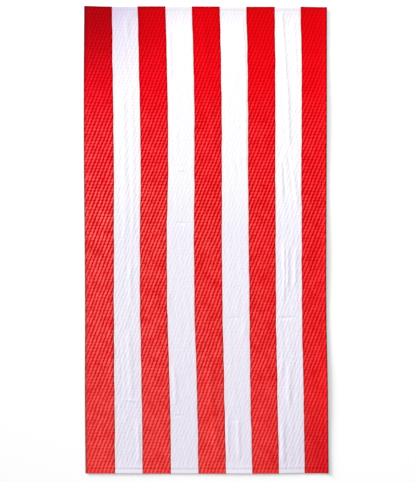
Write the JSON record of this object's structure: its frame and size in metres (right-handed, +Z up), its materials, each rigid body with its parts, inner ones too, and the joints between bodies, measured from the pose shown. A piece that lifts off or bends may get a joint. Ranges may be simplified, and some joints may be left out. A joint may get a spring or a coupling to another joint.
{
  "type": "beach towel",
  "caption": "Rectangular cotton terry beach towel with wide lengthwise stripes, diagonal ribs of pile and flat hems, laid out flat.",
  "frame": {"origin": "centre of the towel's outline, on the surface that it lies on", "axes": "+Y along the towel towards its head edge, +X to the right across the stripes, +Z up out of the ribbed face"},
  "size_m": [0.7701, 1.4709, 0.0046],
  "materials": {
    "striped_terry": "cotton terry, matt, in even red and white lengthwise stripes",
    "red_terry": "red cotton pile, matt with a soft sheen",
    "white_terry": "white cotton pile, matt",
    "sewing_thread": "cotton sewing thread"
  },
  "bodies": {
    "root": {"towel_cloth": "striped_terry"}
  },
  "joints": []
}
